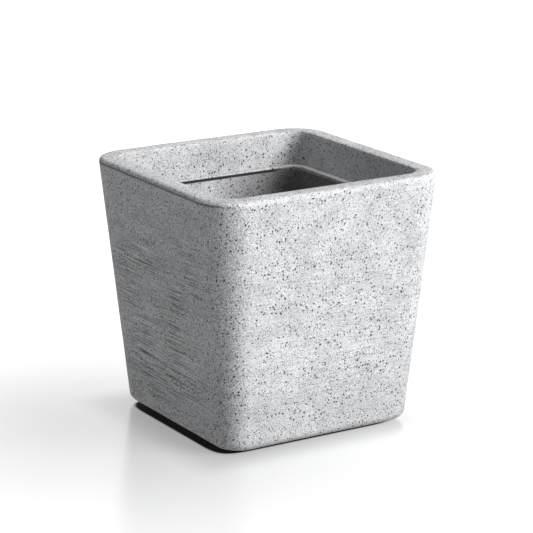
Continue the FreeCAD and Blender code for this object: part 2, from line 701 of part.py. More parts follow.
def make_bung():
    """A soft plug in the liner's floor, pulled up by its grip."""
    stem, head = D["bung_radius"] - D["bung_gap"], D["bung_head_radius"]
    edge, seat, tail = D["bung_edge"], liner_floor_top, D["liner_underside"] - D["bung_tail"]
    top = seat + D["bung_head"]
    body = turned("drain_bung", [
        (0, tail), (stem - D["bung_taper"], tail), (stem, D["liner_underside"]), (stem, seat), (head, seat),
        (head, top - edge), (head - edge, top), (0, top)])
    half, waist, tip = D["bung_grip_radius"], D["bung_grip_waist"], D["bung_grip_top"]
    middle, high = top + D["bung_grip"] / 2, top + D["bung_grip"]
    grip = outline_sketch(body, "grip_outline", "XZ_Plane", -D["bung_grip_thick"] / 2,
                          [(-half, top - edge), (half, top - edge), (waist, middle),
                           (tip, high), (-tip, high), (-waist, middle)])
    extrude(body, "grip", grip, D["bung_grip_thick"])
    fillet(body, "grip_edges", D["bung_edge"], lambda found: level_edge(found, high))


# ---------------------------------------------------------------- the whole planter

make_shell()
for corner_name, (x_side, y_side) in CORNERS.items():
    make_foot("foot_" + corner_name, foot_place * x_side, foot_place * y_side)
    make_screw("foot_screw_" + corner_name, foot_place * x_side, foot_place * y_side)
make_liner()
for corner_name, corner_angle in HANDLE_CORNERS.items():
    make_handle("lift_handle_" + corner_name, corner_angle)
make_separator()
make_cup("wick_cup_left", -1)
make_cup("wick_cup_right", 1)
make_tube()
make_cap()
make_float_and_rod()
make_bung()
doc.recompute()

NODES = ["outer_shell", "liner", "water_separator", "wick_cup_left", "wick_cup_right", "fill_tube", "tube_cap",
         "level_float", "indicator_rod", "drain_bung", "lift_handle_left", "lift_handle_right"]
NODES += ["foot_" + corner_name for corner_name in CORNERS]
NODES += ["foot_screw_" + corner_name for corner_name in CORNERS]

for item in doc.Objects:
    if "Invalid" in item.State or "Error" in item.State:
        raise RuntimeError("%s did not build: %s" % (item.Name, item.State))

os.makedirs("parts", exist_ok=True)
for node in NODES:
    shape = doc.getObjectsByLabel(node)[0].Shape
    if shape.isNull() or not shape.isValid() or len(shape.Solids) != 1:
        raise RuntimeError("%s is not one sound solid" % node)
    shape.exportStep(os.path.join("parts", node + ".step"))
    box = shape.BoundBox
    print("%-24s %9.1f cm3   X %.1f %.1f   Y %.1f %.1f   Z %.1f %.1f" % (
        node, shape.Volume / 1000, box.XMin, box.XMax, box.YMin, box.YMax, box.ZMin, box.ZMax))
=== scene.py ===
# %% [markdown]
# # A square granite-look planter
# This lesson dresses the looks of a self-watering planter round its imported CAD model.
# The outer shell is rotomoulded polyethylene with stone-coloured flecks in it. Inside it
# hangs a liner of the same plastic, and in the liner stands a water separator with wick
# cups, a filling tube, a level float and a drain bung.
# The CAD model fixes every place. Blender gives the surfaces and the finer shapes.

import math
from collections import namedtuple

import bmesh
import bpy
from mathutils import Matrix, Vector


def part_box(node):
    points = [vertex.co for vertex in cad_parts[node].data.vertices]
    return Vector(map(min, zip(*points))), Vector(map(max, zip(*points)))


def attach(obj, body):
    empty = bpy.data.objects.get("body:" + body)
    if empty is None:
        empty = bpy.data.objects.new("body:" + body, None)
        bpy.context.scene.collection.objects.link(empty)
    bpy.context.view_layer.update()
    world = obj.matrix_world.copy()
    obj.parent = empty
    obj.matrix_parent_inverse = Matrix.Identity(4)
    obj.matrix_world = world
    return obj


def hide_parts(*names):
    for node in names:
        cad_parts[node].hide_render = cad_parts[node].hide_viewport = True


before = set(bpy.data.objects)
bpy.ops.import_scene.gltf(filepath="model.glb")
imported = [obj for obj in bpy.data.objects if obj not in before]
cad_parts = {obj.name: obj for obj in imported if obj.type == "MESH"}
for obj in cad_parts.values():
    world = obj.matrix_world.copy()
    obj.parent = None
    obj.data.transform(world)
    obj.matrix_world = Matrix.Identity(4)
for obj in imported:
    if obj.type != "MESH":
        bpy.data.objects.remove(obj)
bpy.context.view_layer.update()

# %% [markdown]
# ## Sizes
# The sizes of the mouldings are written in millimetres, as on a drawing, and one factor
# turns them into Blender's metres. Heights that the CAD model knows are read from it.

# %% Sizes of the mouldings
MM = 0.001
shell_low, shell_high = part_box("outer_shell")
SHELL_BOTTOM, SHELL_TOP = shell_low.z / MM, shell_high.z / MM
RIM_HALF, BASE_HALF, RIM_CORNER, BASE_CORNER = 200, 163, 58, 38
RIM_ROUND, RIM_INNER_ROUND, BASE_ROUND, SHELF_ROUND = 8, 3, 12, 1
SHELL_WALL, SHELL_FLOOR, DRAIN_RADIUS = 6, 7, 12
RIM_BREADTH, BAND_DEPTH, BAND_DRAFT, BAND_CORNER = 31, 56, 3, 30
SHELF_WIDTH, SHELF_THICK, SKIRT_WALL = 5, 6, 6
SHELF_TOP = SHELL_TOP - BAND_DEPTH
BAND_TOP_HALF = RIM_HALF - RIM_BREADTH
BAND_LOW_HALF = BAND_TOP_HALF - BAND_DRAFT
SHELF_HALF = BAND_LOW_HALF - SHELF_WIDTH
print("shell from %.0f to %.0f mm, shelf at %.0f mm" % (SHELL_BOTTOM, SHELL_TOP, SHELF_TOP))

# %% [markdown]
# ## Helpers for modelling by hand
# An operator works on everything that is selected, and the loaded CAD nodes are selected,
# so each piece starts with a clean selection. A moulding with a round-cornered square plan
# can be box-modelled and smoothed, but then its corner radii are only roughly right. Here it
# is lofted as a pattern maker would do it: each outline is a plane with bevelled corners,
# whose radius is exact, and a bridge makes the wall from one outline to the next.

# %% Start a new, empty piece
Outline = namedtuple("Outline", "half corner height")
CORNER_STEPS = 12
FLAT_CUTS = 47
ON_LINE, ON_WALL = 0.02, 0.05  # mm, how near a point must be to count as on an outline or a wall


def new_piece(name):
    """An empty mesh object at the origin, open in edit mode."""
    if bpy.context.object and bpy.context.object.mode != "OBJECT":
        bpy.ops.object.mode_set(mode="OBJECT")
    bpy.ops.object.select_all(action="DESELECT")
    bpy.ops.object.add(type="MESH", location=(0, 0, 0))
    piece = bpy.context.object
    piece.name = piece.data.name = name
    bpy.ops.object.mode_set(mode="EDIT")
    bpy.ops.mesh.select_mode(type="EDGE")
    return piece


# %% Select by place
def off_outline(place, shape):
    """How far a point lies outside a round-cornered square, seen from above."""
    x = abs(place.x) - (shape.half - shape.corner)
    y = abs(place.y) - (shape.half - shape.corner)
    return math.hypot(max(x, 0), max(y, 0)) + min(max(x, y), 0) - shape.corner


def between(first, second, height):
    """The outline of a straight wall at a height between its two ends."""
    share = (height - first.height) / (second.height - first.height)
    return Outline(first.half + (second.half - first.half) * share,
                   first.corner + (second.corner - first.corner) * share, height)


def on_outline(place, shape):
    return abs(place.z - shape.height) < ON_LINE and abs(off_outline(place, shape)) < ON_LINE


def pick_edges(test):
    """Selects the edges of the open mesh whose two ends pass the test."""
    bpy.ops.mesh.select_all(action="DESELECT")
    mesh = bmesh.from_edit_mesh(bpy.context.object.data)
    chosen = [edge for edge in mesh.edges if test(*(vertex.co / MM for vertex in edge.verts))]
    for edge in chosen:
        edge.select_set(True)
    bmesh.update_edit_mesh(bpy.context.object.data)
    return len(chosen)


# %% Add an outline, bridge two outlines, round an edge, cut a wall
def add_outline(shape):
    """A circle, or a plane whose corners are bevelled and whose long sides are then cut up."""
    if shape.corner == shape.half:
        bpy.ops.mesh.primitive_circle_add(radius=shape.half * MM, location=(0, 0, shape.height * MM),
                                          vertices=4 * (CORNER_STEPS + FLAT_CUTS + 1))
        return
    bpy.ops.mesh.primitive_plane_add(size=2 * shape.half * MM, location=(0, 0, shape.height * MM))
    bpy.ops.mesh.bevel(offset=shape.corner * MM, segments=CORNER_STEPS, affect="VERTICES")
    bpy.ops.mesh.delete(type="ONLY_FACE")
    straight = 2 * (shape.half - shape.corner)
    pick_edges(lambda a, b: on_outline(a, shape) and on_outline(b, shape)
               and (a - b).length > straight * 0.9)
    bpy.ops.mesh.subdivide(number_cuts=FLAT_CUTS)


LIFT = 7.7  # mm, an odd height, so that a lifted outline meets no other


def move_outline(shape, height):
    """Moves an outline up or down."""
    pick_edges(lambda a, b: on_outline(a, shape) and on_outline(b, shape))
    bpy.ops.transform.translate(value=(0, 0, height * MM))


def bridge(first, second):
    """The wall between two outlines. Two in one plane are held apart while they are bridged."""
    if first.height == second.height:
        lifted = second._replace(height=second.height + LIFT)
        move_outline(second, LIFT)
        bridge(first, lifted)
        move_outline(lifted, -LIFT)
        return
    pick_edges(lambda a, b: any(on_outline(a, shape) and on_outline(b, shape)
                                for shape in (first, second)))
    bpy.ops.mesh.bridge_edge_loops()


def round_edge(shape, radius, steps):
    """Rounds the edge that runs along an outline."""
    count = pick_edges(lambda a, b: on_outline(a, shape) and on_outline(b, shape))
    bpy.ops.mesh.bevel(offset=radius * MM, segments=steps)
    return count


def cut_wall(first, second, rows):
    """Cuts a wall into level rows, so that it can be shaped further."""
    tall = abs(second.height - first.height) / 2

    def on_wall(place):
        return abs(off_outline(place, between(first, second, place.z))) < ON_WALL

    pick_edges(lambda a, b: abs(a.z - b.z) > tall and on_wall(a) and on_wall(b))
    bpy.ops.mesh.subdivide(number_cuts=rows - 1)


def loft(name, outlines):
    """A closed moulding: bridges from each outline to the next and from the last to the first."""
    piece = new_piece(name)
    for shape in outlines:
        add_outline(shape)
    for first, second in zip(outlines, outlines[1:] + outlines[:1]):
        bridge(first, second)
    return piece


# %% [markdown]
# ## Finishing a piece
# A moulding that cools in an open tool is never dead flat: its walls wander by a few tenths
# of a millimetre over a hand's breadth, and that is what bends the long highlights.
# The Displace modifier moves the mesh itself, so the waviness is real geometry.

# %% Waviness and smooth shading
SMOOTH_ANGLE = math.radians(35)


def waviness(piece, depth, width):
    """Moves the surface in and out by up to half the depth, over waves of a given width."""
    waves = bpy.data.textures.new(piece.name + "_waves", "CLOUDS")
    waves.noise_scale = width * MM
    waves.noise_depth = 1
    modifier = piece.modifiers.new("waviness", "DISPLACE")
    modifier.texture = waves
    modifier.texture_coords = "LOCAL"
    modifier.strength = depth * MM
    bpy.ops.object.modifier_apply(modifier=modifier.name)


def finish_mesh(piece):
    """Merges doubles, points the faces outwards, leaves edit mode and shades the mesh."""
    bpy.ops.mesh.select_all(action="SELECT")
    bpy.ops.mesh.remove_doubles(threshold=0.01 * MM)
    bpy.ops.mesh.normals_make_consistent(inside=False)
    bpy.ops.object.mode_set(mode="OBJECT")
    bpy.ops.object.shade_smooth_by_angle(angle=SMOOTH_ANGLE)
    mesh = piece.data
    print("%s: %d vertices, %d faces" % (piece.name, len(mesh.vertices), len(mesh.polygons)))


# %% [markdown]
# ## Outer shell
# The shell is one hollow moulding. Its section runs up the outer wall, over the broad rim,
# down the inner band to the shelf that carries the liner, back up behind the band, down the
# inside of the wall, and over the floor to the drain hole. The wall tapers and its corner
# radius shrinks towards the base, which is why an extrusion won't do and a loft will.

# %% The shell's outlines
outer_base = Outline(BASE_HALF, BASE_CORNER, SHELL_BOTTOM)
outer_rim = Outline(RIM_HALF, RIM_CORNER, SHELL_TOP)
inner_rim = Outline(BAND_TOP_HALF, BAND_CORNER, SHELL_TOP)
band_low = Outline(BAND_LOW_HALF, BAND_CORNER, SHELF_TOP)
shelf_edge = Outline(SHELF_HALF, BAND_CORNER - SHELF_WIDTH, SHELF_TOP)
shelf_under = shelf_edge._replace(height=SHELF_TOP - SHELF_THICK)
skirt_low = Outline(BAND_LOW_HALF + SKIRT_WALL, BAND_CORNER + SKIRT_WALL, SHELF_TOP - SHELF_THICK)
skirt_high = Outline(BAND_TOP_HALF + SKIRT_WALL, BAND_CORNER + SKIRT_WALL, SHELL_TOP - SHELL_WALL)


def inside_wall(height):
    wall = between(outer_base, outer_rim, height)
    return Outline(wall.half - SHELL_WALL, wall.corner - SHELL_WALL, height)


hollow_high = inside_wall(SHELL_TOP - SHELL_WALL)
hollow_low = inside_wall(SHELL_BOTTOM + SHELL_FLOOR)
drain_high = Outline(DRAIN_RADIUS, DRAIN_RADIUS, SHELL_BOTTOM + SHELL_FLOOR)
drain_low = Outline(DRAIN_RADIUS, DRAIN_RADIUS, SHELL_BOTTOM)

# %% Loft the shell, round its edges and cut its walls
shell = loft("granite_shell", [outer_base, outer_rim, inner_rim, band_low, shelf_edge, shelf_under,
                               skirt_low, skirt_high, hollow_high, hollow_low, drain_high, drain_low])
for shape, radius, steps in ((outer_rim, RIM_ROUND, 6), (inner_rim, RIM_INNER_ROUND, 3),
                             (outer_base, BASE_ROUND, 7), (shelf_edge, SHELF_ROUND, 2)):
    print("rounded %d edges to %g mm" % (round_edge(shape, radius, steps), radius))
for first, second, rows in ((outer_base, outer_rim, 60), (inner_rim, band_low, 9),
                            (hollow_low, hollow_high, 12)):
    cut_wall(first, second, rows)
finish_mesh(shell)
waviness(shell, depth=0.5, width=70)
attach(shell, "shell")
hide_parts("outer_shell")

# %% [markdown]
# ## Liner
# The liner is moulded from the same granite-look plastic. It is a tub whose flange lies on
# the shell's shelf; the flange's edge is the pale line that runs round the inside of the
# mouth, and the small overhang below it throws the dark one. Both lines are also painted into the liner's
# finish further on, as a painted highlight and a painted shadow. It is lofted like the shell.

# %% The liner's outlines
LINER_GAP, LINER_WALL, LINER_FLOOR, LIP, LIP_ROUND = 0.8, 3, 4, 1.8, 1.5
LINER_BASE_GAP, LINER_BASE_ROUND, FLANGE_THICK, FLANGE_GAP, BUNG_HOLE = 20.3, 9, 3.6, 1, 12
LINER_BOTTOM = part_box("liner")[0].z / MM
LINER_CORNER = BAND_CORNER - SHELF_WIDTH - LINER_GAP
FLANGE_TOP = SHELF_TOP + FLANGE_THICK

tub_low = Outline(inside_wall(LINER_BOTTOM).half - LINER_BASE_GAP, LINER_CORNER, LINER_BOTTOM)
tub_high = Outline(SHELF_HALF - LINER_GAP, LINER_CORNER, SHELF_TOP)
flange_under = Outline(BAND_LOW_HALF - FLANGE_GAP, BAND_CORNER - FLANGE_GAP, SHELF_TOP)
flange_edge = flange_under._replace(height=FLANGE_TOP)
cavity_high = Outline(tub_high.half - LINER_WALL, LINER_CORNER - LINER_WALL, SHELF_TOP)
mouth_low = Outline(cavity_high.half - LIP, cavity_high.corner - LIP, SHELF_TOP)
mouth_edge = mouth_low._replace(height=FLANGE_TOP)
tub_inside = between(tub_low, tub_high, LINER_BOTTOM + LINER_FLOOR)
cavity_low = Outline(tub_inside.half - LINER_WALL, cavity_high.corner, LINER_BOTTOM + LINER_FLOOR)
bung_hole_high = Outline(BUNG_HOLE, BUNG_HOLE, LINER_BOTTOM + LINER_FLOOR)
bung_hole_low = Outline(BUNG_HOLE, BUNG_HOLE, LINER_BOTTOM)

# %% Loft the liner and round its edges
liner = loft("granite_liner", [tub_low, tub_high, flange_under, flange_edge, mouth_edge, mouth_low,
                               cavity_high, cavity_low, bung_hole_high, bung_hole_low])
for shape, radius, steps in ((flange_edge, LIP_ROUND, 4), (mouth_edge, LIP_ROUND, 4),
                             (tub_low, LINER_BASE_ROUND, 6),
                             (cavity_low, LINER_BASE_ROUND - LINER_WALL, 5)):
    print("rounded %d edges to %g mm" % (round_edge(shape, radius, steps), radius))
for first, second, rows in ((tub_low, tub_high, 12), (cavity_low, cavity_high, 30)):
    cut_wall(first, second, rows)
finish_mesh(liner)
waviness(liner, depth=0.3, width=60)
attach(liner, "liner")
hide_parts("liner")

# %% [markdown]
# ## Lugs and lifting handles
# Two bails of drawn stainless bar lie across opposite corners of the flange, out of the
# roots' way, and fold up to lift the liner. Each bail's ends turn in two moulded lugs.
# A lug is a disc whose lower half is pressed flat to stand on the flange. It is a solid
# block here, because the bar would fill its bore but for a hairline.
# A bail is a circle that is extruded along each straight run and spun round each bend,
# which is how the wire itself is bent over a former.

# %% Places in the two corners
HANDLE_CORNERS = {"left": 135, "right": -45}
LUG_INNER, LUG_THICK, LUG_RADIUS, LUG_EDGE = 44, 6, 3.5, 0.6
LUG_SINK, AXIS_SLACK, ROUND_SIDES, BAR_SIDES, BEND_STEPS = 0.6, 0.2, 48, 24, 8
HANDLE_GAP, HANDLE_BAR, HANDLE_BEND, HANDLE_ARM, HANDLE_GRIP = 0.3, 2.5, 6, 26, 24
HANDLE_HEIGHT = FLANGE_TOP + HANDLE_GAP + HANDLE_BAR
HANDLE_REACH = (flange_edge.half + mouth_edge.half) / math.sqrt(2) - (LUG_INNER + LUG_THICK / 2)


def corner_axes(degrees):
    """The way out to a corner, and the way along the handle across it."""
    out = Vector((math.cos(math.radians(degrees)), math.sin(math.radians(degrees)), 0))
    return out, Vector((-out.y, out.x, 0))


def corner_spot(degrees, out, along):
    """A point at the handle's height, in metres, out from its axis and along it."""
    outwards, sideways = corner_axes(degrees)
    place = outwards * (HANDLE_REACH + out) + sideways * along
    return Vector((place.x, place.y, HANDLE_HEIGHT)) * MM


print("handle axis %.2f mm from the middle, %.2f mm high" % (HANDLE_REACH, HANDLE_HEIGHT))

# %% Lugs
def turn_to(direction):
    """The Euler turn that points a primitive's Z along a direction."""
    return direction.to_track_quat("Z", "Y").to_euler()


def add_lug(degrees, start):
    """A disc with a flat foot sunk a little into the flange; its axis is the handle's."""
    sideways = corner_axes(degrees)[1]
    bpy.ops.mesh.select_all(action="DESELECT")
    bpy.ops.mesh.primitive_circle_add(radius=LUG_RADIUS * MM, vertices=ROUND_SIDES, fill_type="NOTHING",
                                      location=corner_spot(degrees, 0, start), rotation=turn_to(sideways))
    mesh = bmesh.from_edit_mesh(bpy.context.object.data)
    for vertex in mesh.verts:
        if vertex.select and vertex.co.z < (HANDLE_HEIGHT - AXIS_SLACK) * MM:
            vertex.co.z = (FLANGE_TOP - LUG_SINK) * MM
    bmesh.update_edit_mesh(bpy.context.object.data)
    bpy.ops.mesh.edge_face_add()
    bpy.ops.mesh.extrude_region_move(TRANSFORM_OT_translate={"value": sideways * LUG_THICK * MM})


lugs = new_piece("handle_lugs")
for degrees in HANDLE_CORNERS.values():
    for start in (-LUG_INNER - LUG_THICK, LUG_INNER):
        add_lug(degrees, start)
finish_mesh(lugs)
bevel = lugs.modifiers.new("edges", "BEVEL")
bevel.width, bevel.segments, bevel.angle_limit = LUG_EDGE * MM, 3, math.radians(60)
bpy.ops.object.modifier_apply(modifier=bevel.name)
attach(lugs, "liner")

# %% Bails
def bent_bar(points, radius, bend):
    """Extrudes a circle along straight runs and spins it round each bend between them."""
    heading = (points[1] - points[0]).normalized()
    bpy.ops.mesh.primitive_circle_add(radius=radius, vertices=BAR_SIDES, location=points[0],
                                      rotation=turn_to(heading))
    here = points[0]
    for spot, after in zip(points[1:], points[2:] + [None]):
        turn = (after - spot).angle(spot - here) if after else 0
        trim = bend * math.tan(turn / 2)
        run = (spot - here).normalized()
        stop = spot - run * trim
        bpy.ops.mesh.extrude_region_move(TRANSFORM_OT_translate={"value": stop - here})
        if not after:
            break
        onwards = (after - spot).normalized()
        axis = run.cross(onwards).normalized()
        centre = stop + axis.cross(run) * bend
        bpy.ops.mesh.spin(steps=BEND_STEPS, angle=-turn, center=centre, axis=axis)
        here = spot + onwards * trim


def close_ends(places, radius):
    """Fills the two open ends of a bar."""
    for place in places:
        count = pick_edges(lambda a, b: all((end * MM - place).length < radius * 1.1 for end in (a, b)))
        print("closed an end of %d edges" % count)
        bpy.ops.mesh.edge_face_add()


shoulder, end = LUG_INNER - HANDLE_BEND, LUG_INNER + LUG_THICK - HANDLE_GAP
bail_corners = [(0, -end), (0, -shoulder), (HANDLE_ARM, -HANDLE_GRIP), (HANDLE_ARM, HANDLE_GRIP),
                (0, shoulder), (0, end)]
bails = []
for name, degrees in HANDLE_CORNERS.items():
    bail = new_piece("bail_" + name)
    route = [corner_spot(degrees, out, along) for out, along in bail_corners]
    bent_bar(route, HANDLE_BAR * MM, HANDLE_BEND * MM)
    close_ends((route[0], route[-1]), HANDLE_BAR * MM)
    finish_mesh(bail)
    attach(bail, "handle_" + name)
    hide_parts("lift_handle_" + name)
    bails.append(bail)

# %% [markdown]
# ## Small mouldings with softened edges
# The reservoir's parts, the feet, the screws and the bung already have the right shape in
# the CAD model, but its edges are knife-sharp, and no moulding has such edges. Each is
# copied, its loose triangles are merged and dissolved into flat faces, and the Bevel
# modifier rolls over every edge that turns by more than the given angle.

# %% Copy a CAD node with softened edges
def softened(node, name, body, radius):
    """A copy of a CAD node whose edges are rounded to a radius in millimetres."""
    bpy.ops.object.select_all(action="DESELECT")
    piece = bpy.data.objects.new(name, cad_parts[node].data.copy())
    piece.data.name = name
    bpy.context.scene.collection.objects.link(piece)
    piece.select_set(True)
    bpy.context.view_layer.objects.active = piece
    bpy.ops.mesh.customdata_custom_splitnormals_clear()
    bpy.ops.object.mode_set(mode="EDIT")
    bpy.ops.mesh.select_all(action="SELECT")
    bpy.ops.mesh.remove_doubles(threshold=0.005 * MM)
    bpy.ops.mesh.dissolve_limited(angle_limit=math.radians(1))
    bpy.ops.object.mode_set(mode="OBJECT")
    edges = piece.modifiers.new("softened", "BEVEL")
    edges.width, edges.segments, edges.angle_limit = radius * MM, 3, SMOOTH_ANGLE
    edges.limit_method = "ANGLE"
    bpy.ops.object.modifier_apply(modifier=edges.name)
    bpy.ops.object.shade_smooth_by_angle(angle=SMOOTH_ANGLE)
    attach(piece, body)
    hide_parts(node)
    print("%s: %d faces" % (name, len(piece.data.polygons)))
    return piece


FOOT_CORNERS = ("front_left", "front_right", "back_left", "back_right")
separator = softened("water_separator", "separator_plate", "separator", 0.6)
cups = [softened("wick_cup_" + side, "wick_basket_" + side, "cup_" + side, 0.5)
        for side in ("left", "right")]
tube = softened("fill_tube", "filling_pipe", "separator", 0.5)
cap = softened("tube_cap", "pipe_cap", "cap", 0.7)
float_body = softened("level_float", "float_body", "float", 0.8)
level_rod = softened("indicator_rod", "level_rod", "float", 0.3)
bung = softened("drain_bung", "rubber_bung", "bung", 0.6)
feet = [softened("foot_" + corner, "rubber_foot_" + corner, "shell", 0.4)
        for corner in FOOT_CORNERS]
screws = [softened("foot_screw_" + corner, "screw_" + corner, "shell", 0.15)
          for corner in FOOT_CORNERS]

# %% [markdown]
# ## Screw bosses
# Inside the shell's floor stand four bosses that take the foot screws. Each is a post with
# a wider, sloping foot: three circles are stacked, bridged, and closed at both ends.

# %% Bosses
BOSS_RADIUS, BOSS_ROOT, BOSS_HEIGHT, BOSS_SINK, BOSS_STEP = 8, 10, 12, 1, 2
BOSS_FLOOR = SHELL_BOTTOM + SHELL_FLOOR
BOSS_LEVELS = (BOSS_FLOOR - BOSS_SINK, BOSS_FLOOR + BOSS_STEP, BOSS_FLOOR + BOSS_HEIGHT)


def pick_boss(spot, lower, upper):
    """Selects the edges of the boss at a spot that lie between two heights, all in millimetres."""
    def inside(place):
        return math.hypot(place.x - spot.x, place.y - spot.y) < BOSS_ROOT * 1.1 and lower < place.z < upper

    pick_edges(lambda a, b: inside(a) and inside(b))


bosses = new_piece("screw_bosses")
for corner in FOOT_CORNERS:
    low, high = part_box("foot_" + corner)
    middle = (low + high) / 2
    for radius, height in zip((BOSS_ROOT, BOSS_RADIUS, BOSS_RADIUS), BOSS_LEVELS):
        bpy.ops.mesh.primitive_circle_add(radius=radius * MM, vertices=ROUND_SIDES,
                                          location=(middle.x, middle.y, height * MM))
    for lower, upper in zip(BOSS_LEVELS, BOSS_LEVELS[1:]):
        pick_boss(middle / MM, lower - 1, upper + 1)
        bpy.ops.mesh.bridge_edge_loops()
    for level in (BOSS_LEVELS[0], BOSS_LEVELS[-1]):
        pick_boss(middle / MM, level - 0.1, level + 0.1)
        bpy.ops.mesh.edge_face_add()
finish_mesh(bosses)
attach(bosses, "shell")

# %% [markdown]
# ## Colours and nodes
# Colours are picked as sRGB hex values, as from a paint card. A shader works in linear
# light, so one function turns each of them to linear. One more function adds a node with
# its settings and links, and every material below is built with those two.

# %% One colour function and one node function
def colour(hex_code):
    """An sRGB hex colour as linear RGBA."""
    channels = [int(hex_code[index:index + 2], 16) / 255 for index in (1, 3, 5)]
    linear = [value / 12.92 if value <= 0.04045 else ((value + 0.055) / 1.055) ** 2.4
              for value in channels]
    return linear + [1]


def add_node(material, kind, inputs=None, **settings):
    """Adds a node with its settings; each input is a value, or a socket to link."""
    tree = material.node_tree
    node = tree.nodes.new("ShaderNode" + kind)
    for name, value in settings.items():
        setattr(node, name, value)
    for name, value in (inputs or {}).items():
        if isinstance(value, bpy.types.NodeSocket):
            tree.links.new(value, node.inputs[name])
        else:
            node.inputs[name].default_value = value
    return node


def new_material(name, metallic=0.0, roughness=0.5, ior=1.5):
    """A material with its principled shader and the socket of its object coordinates."""
    material = bpy.data.materials.new(name)
    material.use_nodes = True
    shader = material.node_tree.nodes["Principled BSDF"]
    shader.inputs["Metallic"].default_value = metallic
    shader.inputs["Roughness"].default_value = roughness
    shader.inputs["IOR"].default_value = ior
    place = add_node(material, "TexCoord").outputs["Object"]
    return material, shader, place


def link(material, output, socket):
    material.node_tree.links.new(output, socket)


def per_metre(size_in_mm):
    """The scale of a pattern whose cells are this wide."""
    return 1000 / size_in_mm


# %% [markdown]
# ## Granite-look polyethylene
# The stone look is coloured polyethylene powder with flakes of black, white and grey
# polymer mixed in before the tool is heated. The flakes melt where they lie, so they are
# flush discs 1 to 3 mm wide with ragged edges, and the ground between them is a soft cloud
# of greys. On the lower half the moulding shows fine level drag lines from the tool.
# The finish is a ground tone with layers over it. A layer is a mask and a tone, and a Mix
# node lays it on. Sockets of the nodes are numbered: in Map Range, 1 and 2 are the range
# that comes in and 3 and 4 the range that goes out; in Mix, 0 is the mask and 6 and 7 are
# the tones without and with it.

# %% Flakes
# kind of flake: cell mm, least and largest radius mm, share of cells, darkest and palest tone
FLAKES = {
    "grey crumbs": (2.4, 0.5, 1.0, 0.65, "#7b7d80", "#a9abad"),
    "white crumbs": (3.6, 0.5, 1.0, 0.3, "#cfd1d3", "#e4e6e8"),
    "dark crumbs": (3.0, 0.45, 0.95, 0.7, "#1c1e20", "#5d5f62"),
    "black flakes": (5.3, 0.9, 1.6, 0.64, "#020203", "#0c0d0e"),
}
RAGGED_WIDTH, RAGGED_DEPTH, CELL_SHIFT = 2, 1.4, 0.1


def flake_layers(material, place):
    """One layer for each kind of flake. Voronoi cells give a flake its size and tone."""
    ragged = add_node(material, "TexNoise", {"Vector": place, "Scale": per_metre(RAGGED_WIDTH),
                                             "Detail": 1})
    centred = add_node(material, "VectorMath", {0: ragged.outputs["Color"], 1: (0.5, 0.5, 0.5)},
                       operation="SUBTRACT")
    flake_place = add_node(material, "VectorMath", {0: centred.outputs[0], 1: (RAGGED_DEPTH * MM,) * 3,
                                                    2: place}, operation="MULTIPLY_ADD")
    layers = []
    for index, (cell, least, largest, share, dark, pale) in enumerate(FLAKES.values(), 1):
        shift = (CELL_SHIFT * index,) * 3
        shifted = add_node(material, "VectorMath", {0: flake_place.outputs[0], 1: shift}, operation="ADD")
        cells = add_node(material, "TexVoronoi", {"Vector": shifted.outputs[0], "Scale": per_metre(cell)})
        chance = add_node(material, "SeparateColor", {0: cells.outputs["Color"]})
        radius = add_node(material, "MapRange", {0: chance.outputs[1], 3: least / cell, 4: largest / cell})
        inside = add_node(material, "Math", {0: cells.outputs["Distance"], 1: radius.outputs[0]},
                          operation="LESS_THAN")
        chosen = add_node(material, "Math", {0: chance.outputs[0], 1: share}, operation="LESS_THAN")
        flake = add_node(material, "Math", {0: inside.outputs[0], 1: chosen.outputs[0]},
                         operation="MULTIPLY")
        flake_tone = add_node(material, "Mix", {0: chance.outputs[2], 6: colour(dark), 7: colour(pale)},
                              data_type="RGBA")
        layers.append((flake.outputs[0], flake_tone.outputs[2]))
    return layers


print("kinds of flake:", ", ".join(FLAKES))

# %% Stripes and drag lines
# dark lines, then pale ones: length mm, width mm, noise at which a line begins and is full
DRAG_LINES = ((90, 1.9, 0.5, 0.6), (70, 2.6, 0.52, 0.64))
PATCH_WIDTH, OTHER_FACES, FLAT_HALF, FLAT_FADE = 70, 0.22, 105, 35


def stripe(material, value, middle, half, fade, share):
    """A mask that is share within half of a middle and fades to nothing; sizes in mm."""
    away = add_node(material, "Math", {0: value, 1: -middle * MM}, operation="ADD")
    away = add_node(material, "Math", {0: away.outputs[0]}, operation="ABSOLUTE")
    return add_node(material, "MapRange", {0: away.outputs[0], 1: half * MM, 2: (half + fade) * MM,
                                           3: share, 4: 0}).outputs[0]


